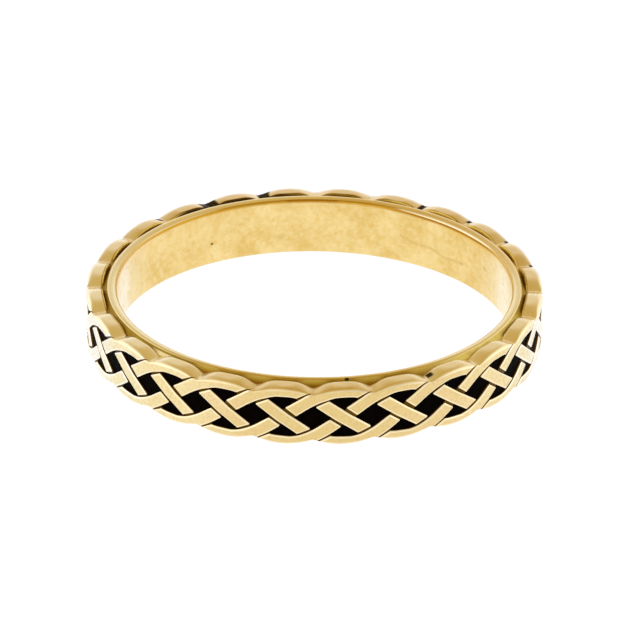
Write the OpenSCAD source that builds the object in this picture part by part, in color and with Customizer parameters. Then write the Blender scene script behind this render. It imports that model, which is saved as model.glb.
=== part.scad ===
// Braided band ring.
// A plain inner sleeve carries a flat four-strand plait. The sleeve, the web
// that joins it to the plait and the plait itself are one piece of gold. Black
// enamel lies in the windows between the strands, a little below their faces.
// The ring lies on its side: its axis is Z, its middle plane is Z = 0.
// The pattern is drawn as seen from outside, x to the right and z up.

/* [Sleeve] */
// Inside diameter, the finger's size
bore_d = 17.3; // [15:0.1:21]
// Thickness of the sleeve's wall
sleeve_wall = 0.42; // [0.35:0.01:0.6]
// Height of the sleeve, rim to rim
sleeve_h = 2.73; // [2.6:0.01:2.76]
// How far out from the bore the rim's crest lies
crest_at = 0.30; // [0.24:0.01:0.32]
// How far the rim falls from its crest towards the finger
rim_fall = 0.045; // [0.01:0.005:0.1]
// How far the rim falls from its crest towards the groove
outer_fall = 0.035; // [0.01:0.005:0.1]
// Rounding of the sleeve's inner edges
inner_round = 0.15; // [0.05:0.01:0.2]

/* [Groove] */
// Width of the groove between the sleeve and the plait
groove_w = 0.28; // [0.24:0.01:0.35]
// Depth of that groove below the sleeve's crest
groove_depth = 0.28; // [0.2:0.01:0.35]
// Width of the groove's slope on the sleeve's side
groove_slope = 0.17; // [0.05:0.01:0.2]

/* [Plait] */
// Thickness of the plait, from the groove to the strands' faces
plait_wall = 0.65; // [0.6:0.01:1]
// Scallops along each edge
bights = 24; // [22:1:26]
// Height of a scallop's top above the middle plane
plait_half_h = 1.35; // [1.34:0.01:1.4]
// Radius of a scallop's curved edge
scallop_r = 3.7; // [3.3:0.1:5]
// Rounding of the plait's outer edges at a scallop's top
plait_round = 0.24; // [0.1:0.01:0.3]
// Rounding of the plait's inner edges, over the groove
back_round = 0.05; // [0.02:0.01:0.1]
// Depth of the grooves where one strand passes under another
cross_depth = 0.14; // [0.05:0.01:0.25]

/* [Enamel] */
// How far the enamel lies below the strands' faces
enamel_drop = 0.11; // [0.05:0.01:0.3]
// Thickness of the enamel
enamel_t = 0.28; // [0.15:0.01:0.35]
// Play between the enamel and the gold
play = 0.02; // [0.01:0.005:0.03]

/* [Hidden] */

gold = [0.93, 0.80, 0.50];
black = [0.03, 0.02, 0.02];

r_bore = bore_d / 2;
r_sleeve = r_bore + sleeve_wall;
r_groove = r_sleeve + groove_w;
r_face = r_groove + plait_wall;
r_enamel = r_face - enamel_drop;
r_floor = r_enamel - enamel_t - play;
pitch = 2 * PI * r_face / bights;
turn = 360 / bights;
groove_floor = sleeve_h / 2 - groove_depth;
r_cut = r_groove * cos(turn / 2) - 0.02;

// Corners of the windows. Columns: across, in pitches from the middle of the
// bar on the left; up, in half heights of the plait.
// The diamond between two bars. Its other four corners are these turned by
// half about the diamond's middle.
DIAMOND_HALF = [
    [ 0.202, -0.053],   // left, at the left bar's upper edge
    [ 0.220,  0.031],   // left, at the end of the upper strand
    [ 0.535,  0.436],   // top, where the upper strand passes over
    [ 0.535,  0.363],   // top, at the end of the right bar
];
// The window under a scallop. The one above a lower scallop is this turned by
// half about the middle of the bar.
ARCH = [
    [-0.245,  0.574],   // left, at the end of the bar
    [-0.229,  0.630],
    [-0.153,  0.667],   // along the scallop
    [-0.059,  0.685],
    [ 0.095,  0.685],
    [ 0.214,  0.652],   // right, at the end of the scallop's strand
    [ 0.239,  0.577],   // right, at the next strand's upper edge
    [ 0.035,  0.309],   // bottom, at the end of that strand
    [ 0.009,  0.212],   // bottom, at the bar's upper edge
];
// Grooves where a strand goes under another. Columns: across and up of one
// end, across and up of the other end, width in mm. The lower half has the
// same three turned by half about the middle of the bar.
CROSSINGS = [
    [-0.481,  0.402, -0.229,  0.637,  0.090],  // bar under the scallop's strand
    [ 0.017,  0.265,  0.205, -0.007,  0.125],  // strand under the bar
    [ 0.216,  0.597,  0.500,  0.951,  0.095],  // scallop's end under the next strand
];

function diamond() = concat(DIAMOND_HALF, [for (p = DIAMOND_HALF) [1 - p[0], -p[1]]]);
function turned(points) = [for (p = points) [-p[0], -p[1]]];
function in_mm(points) = [for (p = points) [p[0] * pitch, p[1] * plait_half_h]];
function middle(points) = [for (k = [0, 1]) (min([for (p = points) p[k]]) + max([for (p = points) p[k]])) / 2];
// A quarter round of radius r about c, from angle a to angle b
function round_to(c, r, a, b, n = 4) = [for (i = [0:n]) c + r * [cos(a + (b - a) * i / n), sin(a + (b - a) * i / n)]];

// The upper half of the band's section, from the bore outwards
function section_top() = concat(
    round_to([r_bore + inner_round, sleeve_h / 2 - rim_fall - inner_round], inner_round, 180, 90),
    [[r_bore + crest_at, sleeve_h / 2], [r_sleeve, sleeve_h / 2 - outer_fall]],
    [[r_sleeve + groove_slope, groove_floor], [r_groove, groove_floor]],
    round_to([r_groove + back_round, plait_half_h - back_round], back_round, 180, 90, 2),
    round_to([r_face - plait_round, plait_half_h - plait_round], plait_round, 90, 0, 5)
);

// Sets a flat shape, drawn in mm, round the band: bay number, inner and outer radius
module bay(number, r_in, r_out) {
    rotate([0, 0, (number + 0.5) * turn])
        translate([0, -r_in, 0])
            rotate([90, 0, 0])
                linear_extrude(height = r_out - r_in)
                    children();
}

module plain_band() {
    top = section_top();
    n = len(top);
    rotate_extrude($fn = 192)
        polygon(concat(top, [for (i = [n - 1:-1:0]) [top[i][0], -top[i][1]]]));
}

// What is cut off above one scallop
module scallop_waste(up) {
    difference() {
        translate([-pitch / 2, up > 0 ? 0.8 : -1.8]) square([pitch, 1]);
        translate([0, up * (plait_half_h - scallop_r)]) circle(r = scallop_r, $fn = 128);
    }
}

module crossing(row, way) {
    a = way * [row[0] * pitch, row[1] * plait_half_h];
    b = way * [row[2] * pitch, row[3] * plait_half_h];
    d = b - a;
    translate(a) rotate(atan2(d[1], d[0])) translate([0, -row[4] / 2]) square([norm(d), row[4]]);
}

module gold_band() {
    color(gold)
    difference() {
        plain_band();
        for (i = [0:bights - 1]) {
            for (up = [1, -1])
                bay(i, r_cut, r_face + 1) scallop_waste(up);
            bay(i, r_floor, r_face + 1) polygon(in_mm(diamond()));
            bay(i, r_floor, r_face + 1) polygon(in_mm(ARCH));
            bay(i, r_floor, r_face + 1) polygon(in_mm(turned(ARCH)));
            for (row = CROSSINGS, way = [1, -1])
                bay(i, r_face - cross_depth, r_face + 1) crossing(row, way);
        }
    }
}

// One filled window, a little smaller than its cell all round
module fill(number, points) {
    flat = in_mm(points);
    c = middle(flat);
    size = [for (k = [0, 1]) max([for (p = flat) p[k]]) - min([for (p = flat) p[k]])];
    keep = 1 - 4 * play / min(size);
    bay(number, r_floor + play, r_face)
        polygon([for (p = flat) c + keep * (p - c)]);
}

module black_enamel() {
    color(black)
    intersection() {
        cylinder(r = r_enamel, h = 2 * plait_half_h, center = true, $fn = 192);
        union() {
            for (i = [0:bights - 1]) {
                fill(i, diamond());
                fill(i, ARCH);
                fill(i, turned(ARCH));
            }
        }
    }
}

gold_band();
black_enamel();
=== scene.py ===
# Looks of the braided band ring: plaited gold strands with polished edges, black enamel in the
# windows, a plain inner sleeve. Lengths are in millimetres until mesh_object() turns them into metres.
import bpy
import math
import random
import numpy as np
from mathutils import Matrix, Vector
from mathutils.geometry import delaunay_2d_cdt


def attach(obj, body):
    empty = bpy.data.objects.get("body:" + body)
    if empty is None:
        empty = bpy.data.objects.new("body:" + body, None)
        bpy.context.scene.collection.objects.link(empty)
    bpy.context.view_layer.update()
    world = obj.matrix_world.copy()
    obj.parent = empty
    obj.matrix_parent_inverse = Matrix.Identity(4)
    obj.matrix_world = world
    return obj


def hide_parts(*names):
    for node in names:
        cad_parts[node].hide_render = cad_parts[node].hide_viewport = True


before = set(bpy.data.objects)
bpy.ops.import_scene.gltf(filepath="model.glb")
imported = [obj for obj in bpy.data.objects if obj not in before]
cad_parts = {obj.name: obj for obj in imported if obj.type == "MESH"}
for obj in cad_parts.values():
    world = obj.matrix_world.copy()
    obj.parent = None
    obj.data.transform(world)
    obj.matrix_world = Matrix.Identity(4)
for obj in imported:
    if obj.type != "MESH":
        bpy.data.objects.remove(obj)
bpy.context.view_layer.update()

# ---------------------------------------------------------------- sizes, as in the CAD source
R_BORE = 8.65
R_SLEEVE = 9.07
R_GROOVE = 9.35
R_FACE = 10.0
SLEEVE_HALF = 1.362
GROOVE_FLOOR = 1.10          # height of the groove's floor above the middle plane
BIGHTS = 24
PITCH = 2 * math.pi * R_FACE / BIGHTS
SCALLOP_R = 3.95
SCALLOP_PEAK = 1.287          # height of the strand's edge at the middle of a scallop
NOTCH = 1.095                 # and between two scallops
BASE_R = 9.86                 # floor of the grooves between the strands
ENAMEL_R = 9.89
BAR_HALF = 0.275              # half the width of a strand
BAR_ANGLE = math.radians(-35.2)
rnd = random.Random(24)


# ---------------------------------------------------------------- the plait, drawn flat: x along the band, z up
def scallop(x):
    """Height of the scalloped edge at x, with the notches between scallops a little filled."""
    best, k0 = [], round(x / PITCH)
    for k in (k0 - 1, k0, k0 + 1):
        dx = x - k * PITCH
        if abs(dx) < SCALLOP_R:
            best.append(SCALLOP_PEAK - SCALLOP_R + math.sqrt(SCALLOP_R ** 2 - dx * dx))
    s = 0.026
    return s * math.log(sum(math.exp(b / s) for b in best))


def curve(points, step=0.07):
    """A smooth line through points, resampled about every step."""
    p = np.array(points, float)
    d = np.r_[0, np.cumsum(np.hypot(*np.diff(p, axis=0).T))]
    m = np.gradient(p, d, axis=0)
    out = []
    for i in range(len(p) - 1):
        h = d[i + 1] - d[i]
        n = max(1, round(h / step))
        for j in range(n):
            t = j / n
            a, b, c, e = 2 * t**3 - 3 * t**2 + 1, t**3 - 2 * t**2 + t, -2 * t**3 + 3 * t**2, t**3 - t**2
            out.append(tuple(a * p[i] + b * h * m[i] + c * p[i + 1] + e * h * m[i + 1]))
    return out + [tuple(p[-1])]


def bar_outline():
    """Corners of a straight bar, whose ends are cut along the strands that pass over them."""
    return [((-1.224, 0.489), 1), ((-0.313, -0.177), 0), ((0.618, -0.799), 1),
            ((1.212, -0.532), 1), ((0.265, 0.108), 0), ((-0.638, 0.773), 1)]


# The strand that turns over at a scallop. One end comes out from under a bar, and the other goes under the
# next strand. Points are from the middle of the bar at its lower left. Those of a lower strand are turned by half.
UPPER = {
    "left": (0.097, 0.428),          # left corner, at the bar's upper edge
    "low": (0.576, 0.049),           # lowest corner, at the bar's upper edge
    "under": [(0.663, 0.103), (0.741, 0.158), (0.857, 0.241), (0.972, 0.325), (1.091, 0.405), (1.210, 0.482), (1.336, 0.553),
              (1.456, 0.622), (1.578, 0.682), (1.705, 0.735), (1.827, 0.779), (1.939, 0.818), (2.046, 0.856), (2.134, 0.881),
              (2.222, 0.902), (2.311, 0.916), (2.420, 0.924), (2.560, 0.926), (2.700, 0.927), (2.820, 0.926), (2.940, 0.920),
              (3.060, 0.904)],
    "right": (3.187, 0.878),         # where the underside meets the end
    "end": 3.674,                    # x of the end's upper corner, on the scallop
    "start": 1.150,                  # x of the corner where its left side meets the scallop
    "slant": (0.395, 0.250),         # how far those two go to the right, deeper in
    "side": [(0.945, 0.997), (0.761, 0.869), (0.567, 0.740), (0.406, 0.630), (0.253, 0.527)],
}
LOWER = {
    "left": (0.105, 0.440),
    "low": (0.591, 0.098),
    "under": [(0.647, 0.129), (0.728, 0.179), (0.843, 0.260), (0.963, 0.341), (1.079, 0.423), (1.196, 0.503), (1.320, 0.577),
              (1.443, 0.645), (1.564, 0.708), (1.689, 0.765), (1.812, 0.816), (1.924, 0.856), (2.037, 0.886), (2.130, 0.904),
              (2.219, 0.921), (2.309, 0.931), (2.420, 0.930), (2.560, 0.925), (2.700, 0.920), (2.819, 0.915), (2.939, 0.909),
              (3.059, 0.897)],
    "right": (3.190, 0.877),
    "end": 3.647,
    "start": 1.148,
    "slant": (0.420, 0.250),
    "side": [(0.942, 1.002), (0.748, 0.888), (0.554, 0.762), (0.390, 0.650), (0.242, 0.542)],
}


def top_outline(t):
    """(point, kind): kind 1 is a corner, 0 lies on a plain edge, 2 lies on the scalloped edge, 3 joins the two."""
    out = [(t["left"], 1), (t["low"], 1)]
    out += [(p, 0) for p in curve([t["low"]] + t["under"] + [t["right"]])[1:-1]]
    out += [(t["right"], 1)]
    x1, x2, n = t["end"], t["start"], 36
    out += [((x1, scallop(x1)), 3)]
    for i in range(1, n):
        x = x1 + (x2 - x1) * i / n
        out.append(((x, scallop(x)), 2))
    out += [((x2, scallop(x2)), 3)]
    out += [(p, 0) for p in curve([(x2, scallop(x2))] + t["side"] + [t["left"]], 0.1)[1:-1]]
    return out


# Section of a strand's edge. Columns: height over the strand's face (negative goes towards the finger),
# inset from a plain edge, rise of the scalloped edge at a scallop's middle, and the same in a notch.
EDGE = [
    (0.000, 0.115, -0.230, -0.150),
    (0.000, 0.075, -0.168, -0.110),
    (-0.006, 0.055, -0.112, -0.072),
    (-0.014, 0.035, -0.084, -0.052),
    (-0.024, 0.016, -0.062, -0.036),
    (-0.036, 0.003, -0.040, -0.022),
    (-0.052, -0.003, -0.018, -0.011),
    (-0.072, -0.004, 0.002, -0.003),
    (-0.095, -0.004, 0.020, 0.003),
    (-0.120, -0.004, 0.036, 0.008),
    (-0.150, -0.004, 0.050, 0.012),
    (-0.200, -0.004, 0.065, 0.018),
    (-0.270, -0.004, 0.078, 0.025),
    (-0.380, -0.004, 0.088, 0.033),
    (-0.480, -0.004, 0.094, 0.038),
    (-0.590, -0.004, 0.094, 0.038),
    (-0.680, -0.004, 0.086, 0.030),
    (-0.722, -0.004, 0.066, 0.010),
    (-0.742, -0.004, 0.026, -0.025),
    (-0.750, -0.004, -0.060, -0.080),
]
FLAT = 1.349                  # no strand's edge is higher than this
LAST_X = 1.5 * PITCH + 0.06   # beyond this a strand's end dips under the next strand
SLANT = 0.36                  # the slots between the scallops run aslant and close over this depth
CORNER_R = 0.045
TIP = 2                       # steps along the scallop, from its end, that take the polished edge gold with its painted highlight
SHORT = 5                     # steps along the scallop, from either end, without the inner wall's painted shade


def unit(v):
    return v / np.hypot(*v)


def rim_height(x, rise):
    """Height at x of the scalloped edge, changed by rise: its first number at a scallop's middle, its second in a notch."""
    z = scallop(x)
    w = max(0.0, min(1.0, 1.15 * (z - NOTCH) / (SCALLOP_PEAK - NOTCH)))
    w = w * w * (3 - 2 * w)
    z += rise[0] * w + rise[1] * (1 - w) - 0.10 * max(0.0, x - LAST_X)
    return -0.010 * math.log(math.exp(-z / 0.010) + math.exp(-FLAT / 0.010))       # the tops are worn flat


def meet_rim(a, b, rise, lo, hi):
    """Where the line through a and b meets the moved scalloped edge, between x = lo and x = hi."""
    def gap(x):
        return a[1] + (b[1] - a[1]) * (x - a[0]) / (b[0] - a[0]) - rim_height(x, rise)
    rising = gap(hi) > gap(lo)
    for _ in range(40):
        mid = (lo + hi) / 2
        if (gap(mid) > 0) == rising:
            hi = mid
        else:
            lo = mid
    return np.array([lo, rim_height(lo, rise)])


def ring_of(outline, d_edge, rise, depth=0.0, slant=(0, 0)):
    """The outline with its plain edges moved inwards by d_edge and its scalloped edge changed by rise."""
    n = len(outline)
    p = [np.array(q[0]) for q in outline]
    kind = [q[1] for q in outline]
    close = min(1.0, depth / SLANT)
    out = []
    for i in range(n):
        a, b, c = p[i - 1], p[i], p[(i + 1) % n]
        e1, e2 = unit(b - a), unit(c - b)
        n1, n2 = np.array([-e1[1], e1[0]]), np.array([-e2[1], e2[0]])      # inwards, for a left-turning outline
        if kind[i] == 2:
            out.append(None)                                               # placed below, once both ends are known
        elif kind[i] == 3 and kind[i - 1] != 2:
            x = meet_rim(a + n1 * d_edge, b + n1 * d_edge, rise, b[0] - 0.5, b[0] + 0.15)[0] + slant[0] * close
            out.append(np.array([x, rim_height(x, rise)]))
        elif kind[i] == 3:
            x = meet_rim(b + n2 * d_edge, c + n2 * d_edge, rise, b[0] - 0.15, b[0] + 0.2)[0] + slant[1] * close
            out.append(np.array([x, rim_height(x, rise)]))
        else:
            cross = n1[0] * n2[1] - n1[1] * n2[0]
            if abs(cross) < 0.02:
                q = b + (n1 + n2) * d_edge / 2
            else:                                                          # where the two moved lines meet
                q = b + np.array([n2[1] - n1[1], n1[0] - n2[0]]) * d_edge / cross
            if kind[i] == 1:                                               # a corner becomes a small arc
                half = (math.pi - math.acos(max(-1, min(1, float(e1 @ e2))))) / 2
                r = max(CORNER_R - d_edge, 0.006)
                mid = unit(e2 - e1)
                centre = q + mid * (r / math.sin(half))
                for t in (-1, -0.4, 0.4, 1):
                    u = t * (math.pi / 2 - half)
                    out.append(centre + (unit(e1 + e2) * math.sin(u) - mid * math.cos(u)) * r)
            else:
                out.append(q)
    gaps = [i for i, q in enumerate(out) if q is None]
    if gaps:
        x1, x2 = out[gaps[0] - 1][0], out[(gaps[-1] + 1) % len(out)][0]
        for m, i in enumerate(gaps):
            x = x1 + (x2 - x1) * (m + 1) / (len(gaps) + 1)
            out[i] = np.array([x, rim_height(x, rise)])
    return np.array(out)


def inside(points, poly, margin):
    """Which points are inside poly and at least margin from its edge."""
    x, y = points[:, 0][:, None], points[:, 1][:, None]
    a, b = poly, np.roll(poly, -1, axis=0)
    with np.errstate(divide="ignore", invalid="ignore"):
        cut = ((a[:, 1] > y) != (b[:, 1] > y)) & (x < (b[:, 0] - a[:, 0]) * (y - a[:, 1]) / (b[:, 1] - a[:, 1]) + a[:, 0])
    d = b - a
    t = np.clip(((x - a[:, 0]) * d[:, 0] + (y - a[:, 1]) * d[:, 1]) / (d**2).sum(1), 0, 1)
    away = np.hypot(x - a[:, 0] - t * d[:, 0], y - a[:, 1] - t * d[:, 1]).min(1)
    return (cut.sum(1) % 2 == 1) & (away > margin)


def filled(poly, step=0.13):
    """Triangles that fill poly: its own points first, then inner points on a grid."""
    lo, hi = poly.min(0), poly.max(0)
    gx, gy = np.meshgrid(np.arange(lo[0], hi[0], step), np.arange(lo[1], hi[1], step))
    gx = gx + (np.arange(gx.shape[0])[:, None] % 2) * step / 2
    grid = np.c_[gx.ravel(), gy.ravel()]
    pts = np.vstack([poly, grid[inside(grid, poly, step * 0.45)]])
    n = len(poly)
    v, _, f, ov, _, _ = delaunay_2d_cdt([Vector(p) for p in pts], [], [list(range(n))], 1, 1e-7)
    source = [o[0] if o else 0 for o in ov]
    return pts, [[source[i] for i in t] for t in f]


def strand_piece(outline, slant=(0, 0)):
    """Points (x, z, height), faces and a material number for each face of one strand piece."""
    rings = [ring_of(outline, row[1], row[2:], -row[0], slant) for row in EDGE]
    kinds = []
    for _, k in outline:
        kinds += [1] * 4 if k == 1 else [k]
    n = len(rings[0])
    cap, tris = filled(rings[0])
    inner = cap[n:]
    pts = [(x, z, 0.0) for x, z in cap]
    faces = [t for t in tris]
    mats = [0] * len(tris)
    start = [0]
    for row, ring in list(zip(EDGE, rings))[1:]:
        start.append(len(pts))
        pts += [(x, z, row[0]) for x, z in ring]
    for k in range(len(EDGE) - 1):
        for i in range(n):
            j = (i + 1) % n
            faces.append([start[k] + i, start[k + 1] + i, start[k + 1] + j, start[k] + j])
            rim = kinds[i] in (2, 3) and kinds[j] in (2, 3)
            tip = rim and 3 in kinds[max(0, i - TIP):i + 1]
            notch = rim and 3 in kinds[max(0, i - SHORT):i + SHORT]
            if rim:
                mats.append(0 if k < 3 else ((1 if tip and k < 8 else 3) if k < 16 or notch else 4))
            else:
                end = 3 in (kinds[i], kinds[j])
                mats.append(0 if k < 1 else (1 if k < 5 else (3 if end and k >= 7 else 2)))
    last, more = start[-1], len(pts)
    pts += [(x, z, EDGE[-1][0]) for x, z in inner]
    for t in tris:
        faces.append([(i + last if i < n else i - n + more) for i in reversed(t)])
        mats.append(2)
    return pts, faces, mats


def turned(piece):
    """The same piece turned by half about the middle of a bar."""
    pts, faces, mats = piece
    return [(-x, -z, h) for x, z, h in pts], faces, mats


def wrap(x, z, h):
    a = x / R_FACE
    r = R_FACE + h
    return (r * math.sin(a), -r * math.cos(a), z)


def mesh_object(name, verts, faces, mats, materials, sharp=50):
    me = bpy.data.meshes.new(name)
    me.from_pydata([tuple(c * 0.001 for c in v) for v in verts], [], faces)
    for m in materials:
        me.materials.append(m)
    me.polygons.foreach_set("material_index", mats)
    me.validate()
    me.shade_smooth()
    me.set_sharp_from_angle(angle=math.radians(sharp))
    me.update()
    o = bpy.data.objects.new(name, me)
    bpy.context.scene.collection.objects.link(o)
    return o


def round_the_band(name, piece, materials, wobble=0.006):
    """One closed shell a bay, with the small unevenness of hand finishing."""
    verts, faces, mats = [], [], []
    pts, fs, ms = piece
    cx = (min(p[0] for p in pts) + max(p[0] for p in pts)) / 2
    cz = (min(p[1] for p in pts) + max(p[1] for p in pts)) / 2
    for k in range(BIGHTS):
        base = len(verts)
        at = (k + 0.5) * PITCH
        turn, grow = rnd.uniform(-1, 1) * 0.004, 1 + rnd.uniform(-1, 1) * 0.004
        dx, dz, dh = (rnd.uniform(-1, 1) * wobble for _ in range(3))
        for x, z, h in pts:
            u, v = (x - cx) * grow, (z - cz)
            near = 1 if abs(z) < 1.0 else max(0.0, 1 - (abs(z) - 1.0) / 0.1)     # the scalloped edge stays in line
            verts.append(wrap(at + cx + u - v * turn + dx, z + (u * turn + dz) * near, h + min(0.0, dh) * 0.7))
        faces += [[i + base for i in f] for f in fs]
        mats += ms
    return mesh_object(name, verts, faces, mats, materials)


# ---------------------------------------------------------------- materials
def node_material(name):
    m = bpy.data.materials.new(name)
    m.use_nodes = True
    t = m.node_tree
    t.nodes.clear()
    out = t.nodes.new("ShaderNodeOutputMaterial")
    b = t.nodes.new("ShaderNodeBsdfPrincipled")
    t.links.new(b.outputs[0], out.inputs[0])
    return m, t, b


def noise(t, scale, detail=2.0, rough=0.5, stretch=None):
    n = t.nodes.new("ShaderNodeTexNoise")
    n.inputs["Scale"].default_value = scale
    n.inputs["Detail"].default_value = detail
    n.inputs["Roughness"].default_value = rough
    c = t.nodes.new("ShaderNodeTexCoord")
    if stretch:
        mp = t.nodes.new("ShaderNodeMapping")
        mp.inputs["Scale"].default_value = stretch
        t.links.new(c.outputs["Object"], mp.inputs[0])
        t.links.new(mp.outputs[0], n.inputs["Vector"])
    else:
        t.links.new(c.outputs["Object"], n.inputs["Vector"])
    return n.outputs["Fac"]


def span(t, value, lo, hi, a, b):
    m = t.nodes.new("ShaderNodeMapRange")
    m.inputs["From Min"].default_value = lo
    m.inputs["From Max"].default_value = hi
    m.inputs["To Min"].default_value = a
    m.inputs["To Max"].default_value = b
    t.links.new(value, m.inputs["Value"])
    return m.outputs[0]


def mixed(t, factor, a, b):
    m = t.nodes.new("ShaderNodeMix")
    m.data_type = "RGBA"
    t.links.new(factor, m.inputs["Factor"])
    for sock, c in ((m.inputs[6], a), (m.inputs[7], b)):
        if isinstance(c, tuple):
            sock.default_value = (*c, 1)
        else:
            t.links.new(c, sock)
    return m.outputs[2]


def bumped(t, b, height, strength, distance):
    n = t.nodes.new("ShaderNodeBump")
    n.inputs["Strength"].default_value = strength
    n.inputs["Distance"].default_value = distance
    t.links.new(height, n.inputs["Height"])
    old = b.inputs["Normal"].links[0].from_socket if b.inputs["Normal"].links else None
    if old:
        t.links.new(old, n.inputs["Normal"])
    t.links.new(n.outputs[0], b.inputs["Normal"])


def math_node(t, how, a, b=None):
    m = t.nodes.new("ShaderNodeMath")
    m.operation = how
    for sock, v in zip(m.inputs, (a, b)):
        if isinstance(v, (int, float)):
            sock.default_value = v
        elif v is not None:
            t.links.new(v, sock)
    return m.outputs[0]


def near_bearing(t, degrees, half, soft):
    """1 where a point lies within half of a direction round the band (0 is the front, 90 the right), 0 beyond half + soft."""
    c = t.nodes.new("ShaderNodeTexCoord")
    flat = t.nodes.new("ShaderNodeVectorMath")
    flat.operation = "MULTIPLY"
    flat.inputs[1].default_value = (1, 1, 0)
    t.links.new(c.outputs["Object"], flat.inputs[0])
    n = t.nodes.new("ShaderNodeVectorMath")
    n.operation = "NORMALIZE"
    t.links.new(flat.outputs[0], n.inputs[0])
    d = t.nodes.new("ShaderNodeVectorMath")
    d.operation = "DOT_PRODUCT"
    a = math.radians(degrees)
    d.inputs[1].default_value = (math.sin(a), -math.cos(a), 0)
    t.links.new(n.outputs[0], d.inputs[0])
    return span(t, d.outputs["Value"], math.cos(math.radians(half + soft)), math.cos(math.radians(half)), 0, 1)


def height(t, lo, hi, a=0, b=1):
    """From a at height lo to b at height hi, in mm."""
    c = t.nodes.new("ShaderNodeTexCoord")
    xyz = t.nodes.new("ShaderNodeSeparateXYZ")
    t.links.new(c.outputs["Object"], xyz.inputs[0])
    return span(t, xyz.outputs["Z"], lo * 0.001, hi * 0.001, a, b)


def radius(t, lo, hi, a=0, b=1):
    """From a at radius lo to b at radius hi, in mm."""
    c = t.nodes.new("ShaderNodeTexCoord")
    flat = t.nodes.new("ShaderNodeVectorMath")
    flat.operation = "MULTIPLY"
    flat.inputs[1].default_value = (1, 1, 0)
    t.links.new(c.outputs["Object"], flat.inputs[0])
    n = t.nodes.new("ShaderNodeVectorMath")
    n.operation = "LENGTH"
    t.links.new(flat.outputs[0], n.inputs[0])
    return span(t, n.outputs["Value"], lo * 0.001, hi * 0.001, a, b)


def tinted(t, colour, tints):
    """The colour, changed round the band. tints: (direction, half width, soft edge in degrees, colour) and any more masks."""
    for degrees, half, soft, tint, *masks in tints:
        f = near_bearing(t, degrees, half, soft)
        for mask in masks:
            f = math_node(t, "MULTIPLY", f, mask[0](t, *mask[1:]))
        colour = mixed(t, f, colour, tint)
    return colour


def with_black_marks(t, b, colour, marks):
    """The colour with dull black marks on it. marks: as the tints, without a colour."""
    total = None
    for degrees, half, soft, *masks in marks:
        f = near_bearing(t, degrees, half, soft)
        for mask in masks:
            f = math_node(t, "MULTIPLY", f, mask[0](t, *mask[1:]))
        f = math_node(t, "MULTIPLY", f, height(t, 0.5, 0.7))       # only the upper side is marked
        total = f if total is None else math_node(t, "MAXIMUM", total, f)
    t.links.new(math_node(t, "SUBTRACT", 1.0, total), b.inputs["Metallic"])
    b.inputs["IOR"].default_value = 1.06
    return mixed(t, total, colour, (0.035, 0.020, 0.004))


def gold(name, light, deep, rough, grain=20000.0, grain_depth=0.15, patch=900.0, tints=(), speckle=0.0, marks=()):
    """Gold whose colour and roughness drift over patches, with a fine grain."""
    m, t, b = node_material(name)
    b.inputs["Metallic"].default_value = 1.0
    drift = span(t, noise(t, patch, 3.0), 0.35, 0.65, 0, 1)
    colour = tinted(t, mixed(t, drift, deep, light), tints)
    if speckle:
        colour = mixed(t, span(t, noise(t, 7500.0, 3.0, 0.7), 0.42, 0.66, 0, speckle), colour, tuple(c * 0.75 for c in deep))
    if marks:
        colour = with_black_marks(t, b, colour, marks)
    t.links.new(colour, b.inputs["Base Color"])
    t.links.new(span(t, noise(t, patch * 2.3, 4.0), 0.3, 0.7, rough[0], rough[1]), b.inputs["Roughness"])
    bumped(t, b, noise(t, grain, 2.0, 0.6), grain_depth, 0.00001)
    return m, t, b


# Strand faces. Tints round the band are painted light: darker painted shade at the front, near-white painted highlights
# towards the left and right sides. The speckle is grain.
satin, *_ = gold("gold_satin", (0.88, 0.68, 0.345), (0.84, 0.62, 0.29), (0.34, 0.42), 22000, 0.5, 900,
                 [(4, 8, 22, (0.80, 0.60, 0.25)), (314, 12, 14, (0.92, 0.76, 0.405)), (298, 8, 10, (0.94, 0.83, 0.52)),
                  (280, 10, 12, (0.99, 0.96, 0.87)), (57, 8, 12, (0.91, 0.74, 0.40)), (69, 7, 9, (0.92, 0.80, 0.50)),
                  (84, 9, 9, (0.99, 0.96, 0.88))], 0.45)
# Polished edges: the low roughness is real polish; the lighter colour and the near-white tints towards the left and
# right sides are painted highlights.
edge, *_ = gold("gold_polished_edge_painted_highlight", (0.97, 0.83, 0.54), (0.95, 0.79, 0.48), (0.16, 0.22), 9000, 0.05, 900,
                [(284, 20, 16, (1.0, 0.95, 0.82)), (80, 15, 12, (1.0, 0.95, 0.82))])
# Side walls of the strands, down in the gaps between them: dark brown painted shade. The black marks sit in two notches
# at the back left.
wall, *_ = gold("gold_wall_painted_shade", (0.36, 0.19, 0.012), (0.26, 0.12, 0.006), (0.4, 0.55), 12000, 0.3, 900, (), 0.0,
                [(a, w, soft, (height, 1.30, 1.26)) for a, w, soft in ((193.8, 1.5, 0.6), (210.2, 2.3, 0.7))])
# Dark marks in the notches. Columns: direction, half width and soft edge in degrees, height up to which, radius from which.
NOTCH_MARKS = [(105, 0.3, 0.4, 1.24, 9.78), (120, 0.3, 0.4, 1.24, 9.72), (135, 0.4, 0.4, 1.24, 9.62), (150, 0.6, 0.5, 1.24, 9.3),
               (193.8, 1.5, 0.6, 1.27, 9.2), (210.2, 2.3, 0.7, 1.29, 9.2), (226.2, 0.7, 0.5, 1.25, 9.5)]
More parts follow.
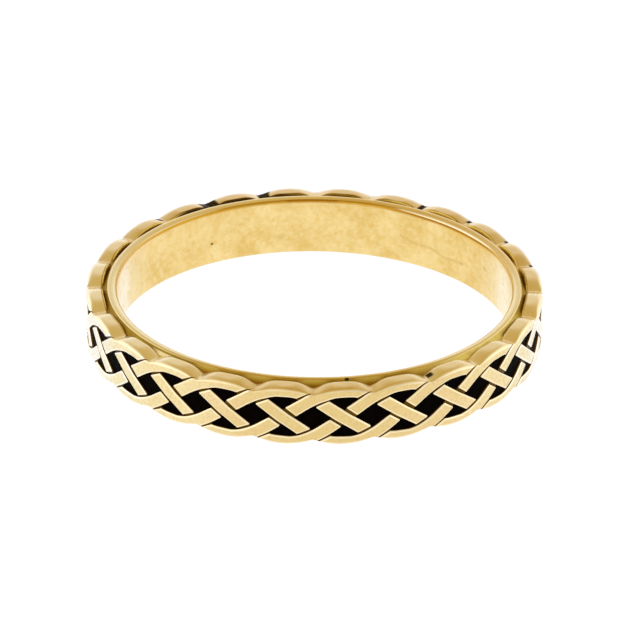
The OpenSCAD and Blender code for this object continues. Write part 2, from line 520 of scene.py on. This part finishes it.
# Tops of the scallops. Tints round the band are painted light: lighter painted highlights towards the sides, a little
# darker at the back, a pale painted reflection on the outer part at the back, and dark painted shade along the inner
# edge at the back, the sides and the front. The black marks sit in the notches.
top, *_ = gold("gold_scallop_top", (0.93, 0.76, 0.44), (0.86, 0.66, 0.34), (0.22, 0.30), 6000, 0.12, 1500,
               [(180, 42, 14, (0.87, 0.66, 0.36)), (288, 30, 24, (0.98, 0.85, 0.57)), (56, 28, 14, (0.95, 0.79, 0.48)),
                (180, 70, 20, (0.90, 0.76, 0.56), (radius, 9.64, 9.80)),
                (174, 44, 12, (0.48, 0.31, 0.045), (radius, 9.365, 9.335)), (277, 24, 8, (0.45, 0.29, 0.04), (radius, 9.37, 9.335)),
                (90, 12, 6, (0.68, 0.48, 0.15), (radius, 9.365, 9.335)), (22, 5, 3, (0.76, 0.56, 0.20), (radius, 9.365, 9.335))], 0.0,
               [(a, w, soft, (height, z, z - 0.04), (radius, r, r + 0.06)) for a, w, soft, z, r in NOTCH_MARKS]
               + [(31.0, 0.6, 0.6, (radius, 9.74, 9.62), (radius, 9.36, 9.42), (height, 1.28, 1.25))])
# Top face of the sleeve. Tints round the band are painted light: lighter towards the sides and palest at the back,
# darker olive at the front. The black mark at 8.9 degrees is a blemish.
rim, *_ = gold("gold_rim", (0.80, 0.59, 0.20), (0.72, 0.50, 0.14), (0.18, 0.26), 9000, 0.10, 900,
               [(90, 46, 20, (0.93, 0.77, 0.44)), (270, 46, 20, (0.93, 0.79, 0.48)), (120, 15, 10, (0.90, 0.69, 0.34)),
                (192, 30, 12, (1.0, 0.84, 0.49)), (155, 14, 10, (0.93, 0.72, 0.36))], 0.0, [(8.9, 0.32, 0.25, (radius, 8.97, 8.99))])
# Inner walls of the scallops, facing the sleeve: dark brown painted shade, lighter at the front and the sides, darkest
# at the back and back left.
inner, *_ = gold("gold_scallop_inner_wall", (0.34, 0.19, 0.012), (0.24, 0.12, 0.006), (0.35, 0.5), 12000, 0.3, 900,
                 [(0, 46, 18, (0.86, 0.68, 0.35)), (120, 42, 14, (0.76, 0.56, 0.13)), (270, 48, 10, (0.76, 0.55, 0.13)), (88, 9, 6, (0.46, 0.29, 0.03)),
                  (178, 14, 8, (0.30, 0.17, 0.014)), (204, 14, 5, (0.10, 0.045, 0.003))])

bore, t, b = node_material("gold_bore")
b.inputs["Metallic"].default_value = 1.0
drift = span(t, noise(t, 700.0, 3.0), 0.35, 0.65, 0, 1)
fine = span(t, noise(t, 2600.0, 5.0, 0.7, (1, 1, 1.1)), 0.36, 0.64, 0, 1)
colour = mixed(t, drift, (0.76, 0.51, 0.14), (0.91, 0.69, 0.295))
colour = mixed(t, math_node(t, "MULTIPLY", fine, 0.50), colour, (0.94, 0.755, 0.37))
# Tints round the bore are painted light: lighter painted reflections towards the sides, near-white painted highlight
# streaks at 104 and 258.5 degrees, and painted shade in the upper bore at 127 degrees, back right.
colour = tinted(t, colour, [(94, 12, 16, (0.92, 0.76, 0.43)), (266, 12, 16, (0.90, 0.735, 0.41)),
                            (104, 2, 6, (0.97, 0.87, 0.63), (height, 1.12, 1.00)), (258.5, 2.5, 6, (0.98, 0.88, 0.69), (height, 1.12, 1.00)),
                            (127, 8, 6, (0.84, 0.58, 0.16), (height, 0.85, 1.05))])
colour = mixed(t, span(t, noise(t, 3600.0, 5.0, 0.7, (1, 1, 1.2)), 0.50, 0.70, 0, 0.60), colour, (0.76, 0.49, 0.105))
colour = mixed(t, span(t, noise(t, 5200.0, 5.0, 0.7, (1, 1, 1.2)), 0.52, 0.70, 0, 0.30), colour, (0.98, 0.84, 0.50))
# a fine scratch and a few specks. Columns: x and height of a speck in mm, its size, its strength
SCRATCH = [(3.83, 0.04), (4.01, -0.07), (4.55, -0.21), (5.27, -0.21), (5.80, -0.44), (6.59, -0.33)]
SPECKS = [(-4.63, -0.29, 0.055, 0.9), (7.58, 0.14, 0.08, 0.22), (-1.53, -0.49, 0.14, 0.10), (6.59, -0.33, 0.06, 0.2)]
place = t.nodes.new("ShaderNodeSeparateXYZ")
t.links.new(t.nodes.new("ShaderNodeTexCoord").outputs["Object"], place.inputs[0])
far = span(t, place.outputs["Y"], 0.003, 0.0035, 0, 1)
for (x0, z0), (x1, z1) in zip(SCRATCH, SCRATCH[1:]):
    along = span(t, place.outputs["X"], x0 * 0.001, x1 * 0.001, z0 * 0.001, z1 * 0.001)
    off = math_node(t, "ABSOLUTE", math_node(t, "SUBTRACT", place.outputs["Z"], along))
    ends = math_node(t, "MULTIPLY", math_node(t, "GREATER_THAN", place.outputs["X"], x0 * 0.001), math_node(t, "LESS_THAN", place.outputs["X"], x1 * 0.001))
    mark = math_node(t, "MULTIPLY", math_node(t, "MULTIPLY", span(t, off, 0.00002, 0.00011, 0.40, 0), ends), far)
    colour = mixed(t, mark, colour, (0.62, 0.40, 0.09))
for x, z, size, much in SPECKS:
    dx = math_node(t, "SUBTRACT", place.outputs["X"], x * 0.001)
    dz = math_node(t, "SUBTRACT", place.outputs["Z"], z * 0.001)
    away = math_node(t, "SQRT", math_node(t, "ADD", math_node(t, "MULTIPLY", dx, dx), math_node(t, "MULTIPLY", dz, dz)))
    mark = math_node(t, "MULTIPLY", span(t, away, size * 0.0006, size * 0.0015, much, 0), far)
    colour = mixed(t, mark, colour, (0.12, 0.05, 0.004))
# above the bore the sleeve's inner edge gets a painted highlight, with a painted dark orange shade line where the two
# meet; both change round the band with the light, and the line sits lower at the back right and back left
sep = t.nodes.new("ShaderNodeSeparateXYZ")
t.links.new(t.nodes.new("ShaderNodeTexCoord").outputs["Object"], sep.inputs[0])
line = math_node(t, "SUBTRACT", sep.outputs["Z"], 0.001275)
line = math_node(t, "ADD", line, math_node(t, "MULTIPLY", near_bearing(t, 136, 9, 17), 0.000075))
line = math_node(t, "ADD", line, math_node(t, "MULTIPLY", near_bearing(t, 224, 8, 15), 0.000028))
painted_lip_highlight = tinted(t, (0.98, 0.86, 0.58), [(104, 9, 5, (0.80, 0.62, 0.30)), (262, 6, 5, (0.79, 0.60, 0.27)), (30, 16, 10, (0.86, 0.73, 0.43)),
                                         (322, 8, 8, (0.89, 0.76, 0.46)), (182, 26, 3, (0.72, 0.44, 0.11)), (181, 7, 1.5, (0.58, 0.31, 0.03))])
dark = tinted(t, (0.62, 0.33, 0.02), [(90, 20, 20, (0.68, 0.45, 0.11)), (270, 20, 20, (0.68, 0.45, 0.12)),
                                      (136, 12, 12, (0.44, 0.18, 0.003)), (181, 7, 1.5, (0.48, 0.21, 0.006))])
colour = mixed(t, span(t, line, 0.000015, 0.00004, 0, 1), colour, painted_lip_highlight)
under = span(t, line, -0.00013, -0.000025, 0, 1)
over = span(t, line, 0.000015, 0.000045, 1, 0)
colour = mixed(t, math_node(t, "MULTIPLY", under, over), colour, dark)
t.links.new(colour, b.inputs["Base Color"])
t.links.new(span(t, noise(t, 1610.0, 4.0), 0.3, 0.7, 0.28, 0.38), b.inputs["Roughness"])
bumped(t, b, noise(t, 16000, 2.0, 0.6), 0.35, 0.00001)

# Backing and gap floors between the strands: near-black brown painted shade.
recess, *_ = gold("gold_recess_painted_shade", (0.135, 0.066, 0.004), (0.090, 0.044, 0.002), (0.4, 0.55), 12000, 0.3)
# Outer side of the sleeve's rim: olive painted shade, with painted light by direction: lighter at the sides and the
# back, brightest at 200 degrees, and lighter at the front notches where light comes through. The black mark at 8.9
# degrees is a blemish.
rim_side, *_ = gold("gold_rim_side", (0.56, 0.385, 0.075), (0.48, 0.31, 0.045), (0.3, 0.4), 9000, 0.2, 900,
                    [(90, 44, 20, (0.84, 0.68, 0.30)), (270, 44, 20, (0.86, 0.71, 0.36)), (180, 50, 14, (0.86, 0.64, 0.20)), (200, 30, 10, (0.99, 0.82, 0.42)), (105, 12, 8, (0.70, 0.48, 0.12))]
                    + [(a, 1.5, 3, (0.70, 0.50, 0.13)) for a in (-30, -15, 0, 15, 30)], 0.0, [(8.9, 0.45, 0.3)])
# Groove between the sleeve and the plait: dark brown painted shade, lighter towards the right, with a painted glint in
# the notch at -45 degrees and lighter painted light at the front notches. The black mark at 8.9 degrees is a blemish.
groove, *_ = gold("gold_groove", (0.38, 0.20, 0.012), (0.30, 0.15, 0.006), (0.4, 0.55), 12000, 0.3, 900,
                  [(125, 42, 14, (0.74, 0.56, 0.16)), (272, 48, 10, (0.36, 0.22, 0.02)), (58, 20, 10, (0.66, 0.50, 0.12)), (86, 11, 5, (0.42, 0.26, 0.02))]
                  + [(-45, 2.0, 2.5, (0.84, 0.68, 0.34), (radius, 9.11, 9.15))]
                  + [(a, 1.5, 3, (0.58, 0.40, 0.07), (radius, 9.20, 9.10)) for a in (-30, -15, 0, 15, 30)], 0.0, [(8.9, 0.4, 0.3, (radius, 9.12, 9.09))])

enamel_mat, t, b = node_material("black_enamel")
b.inputs["Metallic"].default_value = 0.0
b.inputs["IOR"].default_value = 1.06
t.links.new(mixed(t, span(t, noise(t, 4000.0, 3.0), 0.3, 0.7, 0, 1), (0.0007, 0.0003, 0.0002), (0.0022, 0.0009, 0.0004)), b.inputs["Base Color"])
t.links.new(span(t, noise(t, 5000.0), 0.3, 0.7, 0.4, 0.6), b.inputs["Roughness"])
bumped(t, b, noise(t, 9000.0, 3.0), 0.3, 0.00001)

# ---------------------------------------------------------------- the strands
STRAND = [satin, edge, wall, top, inner]
bar = round_the_band("bar_strands", strand_piece(bar_outline()), STRAND)
upper = round_the_band("upper_strands", strand_piece(top_outline(UPPER), UPPER["slant"]), STRAND)
lower = round_the_band("lower_strands", turned(strand_piece(top_outline(LOWER), LOWER["slant"])), STRAND)


# ---------------------------------------------------------------- plain bodies of revolution
def revolve(name, section, steps, materials, mat_of):
    """section: (r, z) points of a closed line, run so that its left side faces out. mat_of(a, b) gives a face's material."""
    n = len(section)
    verts, faces, mats = [], [], []
    for s in range(steps):
        a = 2 * math.pi * s / steps
        for r, z in section:
            z = z(a) if callable(z) else z
            verts.append((r * math.sin(a), -r * math.cos(a), z))
    for s in range(steps):
        s2 = (s + 1) % steps
        for i in range(n):
            j = (i + 1) % n
            faces.append([s * n + i, s2 * n + i, s2 * n + j, s * n + j])
            mats.append(mat_of(i, j))
    return mesh_object(name, verts, faces, mats, materials)


def arc(cr, cz, r, a, b, n):
    return [(cr + r * math.cos(math.radians(a + (b - a) * i / n)), cz + r * math.sin(math.radians(a + (b - a) * i / n)))
            for i in range(n + 1)]


half = [(R_BORE, 0.0, 0), (R_BORE, 0.6, 0), (R_BORE, 1.05, 0)]           # r, z and material of the next face
half += [(r, z, 0 if i < 9 else 2) for i, (r, z) in enumerate(arc(R_BORE + 0.15, 1.17, 0.15, 180, 105, 10))]
half += [(r, z, 2) for r, z in ((8.785, 1.328), (8.820, 1.342), (8.855, 1.352), (8.890, 1.358), (8.925, 1.361), (8.950, SLEEVE_HALF),
                                (8.975, 1.361), (9.000, 1.356))]
half += [(r, z, 4) for r, z in ((9.020, 1.350), (9.040, 1.340), (9.056, 1.328))]
half += [(r, z, 3) for r, z in ((9.068, 1.314), (9.10, 1.276), (9.14, 1.228), (9.18, 1.178), (9.21, 1.140), (9.24, GROOVE_FLOOR + 0.01),
                                (9.27, GROOVE_FLOOR), (9.31, GROOVE_FLOOR), (9.37, GROOVE_FLOOR))]
section = half[1:] + [(r, -z, m) for r, z, m in reversed(half)]
section = section[::-1]
lip = [m for r, z, m in section]
sleeve = revolve("inner_sleeve", [(r, z) for r, z, m in section], 480, [bore, bore, rim, groove, rim_side],
                 lambda i, j: lip[j] if section[i][1] > 0 else lip[i])

STEPS = BIGHTS * 40


def top_edge(rise):
    return lambda a: rim_height((a * R_FACE - 0.5 * PITCH) % PITCH, rise)


def bottom_edge(rise):
    return lambda a: -rim_height((-(a * R_FACE - 0.5 * PITCH)) % PITCH, rise)


# Columns: radius, rise at a scallop's middle, rise in a notch.
BODY = [(9.300, -0.060, -0.085), (9.340, -0.010, -0.055), (9.500, 0.020, -0.035), (9.640, 0.018, -0.026),
        (9.760, 0.000, -0.024), (9.820, -0.020, -0.035), (BASE_R, -0.060, -0.070)]
body = [(r, top_edge((u, v))) for r, u, v in BODY] + [(r, bottom_edge((u, v))) for r, u, v in reversed(BODY)]
body = body[::-1]
backing = revolve("plait_backing", body, STEPS, [recess], lambda i, j: 0)


# ---------------------------------------------------------------- floors of the gaps between the strands
# Columns: across and up of one end, across and up of the other, in mm from the middle of a bar.
GAPS = [
    (-1.17, 0.575, -0.72, 0.795),
    (0.07, 0.345, 0.52, 0.000),
    (0.60, 0.820, 0.98, 1.055),
]
GAP_R = 9.925
def strip(row, half_w):
    a, b = np.array(row[:2]), np.array(row[2:])
    d = unit(b - a)
    n = np.array([-d[1], d[0]]) * half_w
    return [tuple(p) for p in (a - n, b - n, b + n, a + n)]


def plate(points, r_low, r_high):
    poly = np.array(points)
    pts, tris = filled(poly, 0.16)
    n, m = len(poly), len(pts)
    verts = [(x, z, r_high - R_FACE) for x, z in pts] + [(x, z, r_low - R_FACE) for x, z in pts]
    faces = list(tris) + [[i + m for i in reversed(t)] for t in tris]
    faces += [[i, i + m, (i + 1) % n + m, (i + 1) % n] for i in range(n)]
    return verts, faces, [0] * len(faces)


gap_v, gap_f, gap_m = [], [], []
for k in range(BIGHTS):
    for row in GAPS:
        for pts, fs, ms in (plate(strip(row, 0.085), BASE_R - 0.02, GAP_R), turned(plate(strip(row, 0.085), BASE_R - 0.02, GAP_R))):
            base = len(gap_v)
            gap_v += [wrap(x + (k + 0.5) * PITCH, z, h) for x, z, h in pts]
            gap_f += [[i + base for i in f] for f in fs]
            gap_m += ms
gap_floors = mesh_object("gap_floors", gap_v, gap_f, gap_m, [recess])

# ---------------------------------------------------------------- enamel in the windows
DIAMOND = [(0.50, -0.03), (1.18, -0.52), (1.20, -0.62), (2.06, -0.08)]
DIAMOND += [(PITCH - x, -z) for x, z in DIAMOND]
ARCH = [(-0.65, 0.745), (0.0, 0.29), (0.12, 0.40), (0.65, 0.76), (0.58, 0.90), (0.30, 0.95), (-0.1, 0.96), (-0.40, 0.94), (-0.62, 0.89)]
enamel_v, enamel_f, enamel_m = [], [], []
for k in range(BIGHTS):
    for pts, fs, ms in (plate(DIAMOND, BASE_R - 0.02, ENAMEL_R), plate(ARCH, BASE_R - 0.02, ENAMEL_R),
                        turned(plate(ARCH, BASE_R - 0.02, ENAMEL_R))):
        base = len(enamel_v)
        enamel_v += [wrap(x + (k + 0.5) * PITCH, z, h) for x, z, h in pts]
        enamel_f += [[i + base for i in f] for f in fs]
        enamel_m += ms
enamel = mesh_object("enamel_fills", enamel_v, enamel_f, enamel_m, [enamel_mat])

for piece in (bar, upper, lower, sleeve, backing, gap_floors):
    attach(piece, "root")
    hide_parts("gold_band")
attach(enamel, "root")
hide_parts("black_enamel")

# ---------------------------------------------------------------- floor, light and camera
low = min(v.co.z for piece in (lower, sleeve) for v in piece.data.vertices)
bpy.ops.mesh.primitive_plane_add(size=1.2, location=(0, 0, low))
floor = bpy.context.object
floor.name = "floor"
m = bpy.data.materials.new("floor_white")
m.use_nodes = True
t = m.node_tree
t.nodes.clear()
out = t.nodes.new("ShaderNodeOutputMaterial")
em = t.nodes.new("ShaderNodeEmission")
em.inputs["Color"].default_value = (1, 1, 1, 1)
em.inputs["Strength"].default_value = 1.05
t.links.new(em.outputs[0], out.inputs[0])
floor.data.materials.append(m)

world = bpy.data.worlds.new("studio")
bpy.context.scene.world = world
world.use_nodes = True
t = world.node_tree
t.nodes.clear()
out = t.nodes.new("ShaderNodeOutputWorld")
bg = t.nodes.new("ShaderNodeBackground")
co = t.nodes.new("ShaderNodeTexCoord")
sep = t.nodes.new("ShaderNodeSeparateXYZ")
t.links.new(co.outputs["Generated"], sep.inputs[0])


def sky(stops):
    """Light against the sine of the elevation: (sine, brightness, how brown)."""
    ramp = t.nodes.new("ShaderNodeValToRGB")
    t.links.new(sep.outputs["Z"], ramp.inputs[0])
    el = ramp.color_ramp.elements
    while len(el) < len(stops):
        el.new(0.5)
    for e, (p, v, brown) in zip(el, stops):
        e.position = p
        e.color = (v, v * (1 - 0.245 * brown), v * (1 - 0.71 * brown), 1)
    return ramp.outputs[0]


TOP = [(0.93, 0.60, 1.0), (1.0, 0.56, 1.05)]
ahead = sky([(0.0, 0.98, 0), (0.55, 0.97, 0), (0.80, 0.82, 0.35), (0.87, 0.72, 0.65)] + TOP)
behind = sky([(0.0, 1.00, 0), (0.30, 1.00, 0), (0.42, 0.84, 0.35), (0.50, 0.74, 0.55), (0.71, 0.66, 0.80), (0.85, 0.60, 0.95)] + TOP)
beside = sky([(0.0, 1.30, 0), (0.50, 1.25, 0), (0.75, 0.80, 0.4), (0.85, 0.55, 0.8)] + TOP)
to_back = span(t, sep.outputs["Y"], -0.25, 0.25, 0, 1)
across = t.nodes.new("ShaderNodeMath")
across.operation = "ABSOLUTE"
t.links.new(sep.outputs["X"], across.inputs[0])
to_side = span(t, across.outputs[0], 0.35, 0.75, 0, 1)
light = mixed(t, to_side, mixed(t, to_back, ahead, behind), beside)
t.links.new(light, bg.inputs["Color"])


def card(towards, wide, soft, gain):
    """A card or flag: multiplies the light from one direction. wide and soft are angles in degrees."""
    dot = t.nodes.new("ShaderNodeVectorMath")
    dot.operation = "DOT_PRODUCT"
    t.links.new(co.outputs["Generated"], dot.inputs[0])
    dot.inputs[1].default_value = Vector(towards).normalized()
    return span(t, dot.outputs["Value"], math.cos(math.radians(wide + soft)), math.cos(math.radians(wide)), 1, gain)


def times(a, b):
    m = t.nodes.new("ShaderNodeMath")
    m.operation = "MULTIPLY"
    t.links.new(a, m.inputs[0])
    t.links.new(b, m.inputs[1])
    return m.outputs[0]


strength = card((0.62, -0.65, 0.44), 12, 18, 0.72)
t.links.new(strength, bg.inputs["Strength"])
t.links.new(bg.outputs[0], out.inputs[0])

ELEV, DIST, PX, ROLL = math.radians(26.65), 29.0, 197.2, math.radians(0.59)
cam = bpy.data.objects.new("camera", bpy.data.cameras.new("camera"))
bpy.context.scene.collection.objects.link(cam)
bpy.context.scene.camera = cam
cam.data.sensor_width = 36.0
cam.data.lens = 36.0 * PX * DIST / 620.0
cam.data.clip_start = 0.01
cam.data.clip_end = 10.0
back = Vector((0, -math.cos(ELEV), math.sin(ELEV)))
right = Vector((1, 0, 0))
up = back.cross(right)
rot = Matrix((right, up, back)).transposed()
rot = rot @ Matrix.Rotation(ROLL, 3, "Z")
right, up = rot.col[0], rot.col[1]
per = R_BORE * 0.001 / PX
centre = -right * (314.26 - 310) * per + up * (312.05 - 310) * per
cam.matrix_world = Matrix.Translation(centre + back * DIST * R_BORE * 0.001) @ rot.to_4x4()

vs = bpy.context.scene.view_settings
vs.view_transform = "Standard"
vs.look = "None"
vs.exposure = 0.0
vs.gamma = 1.0
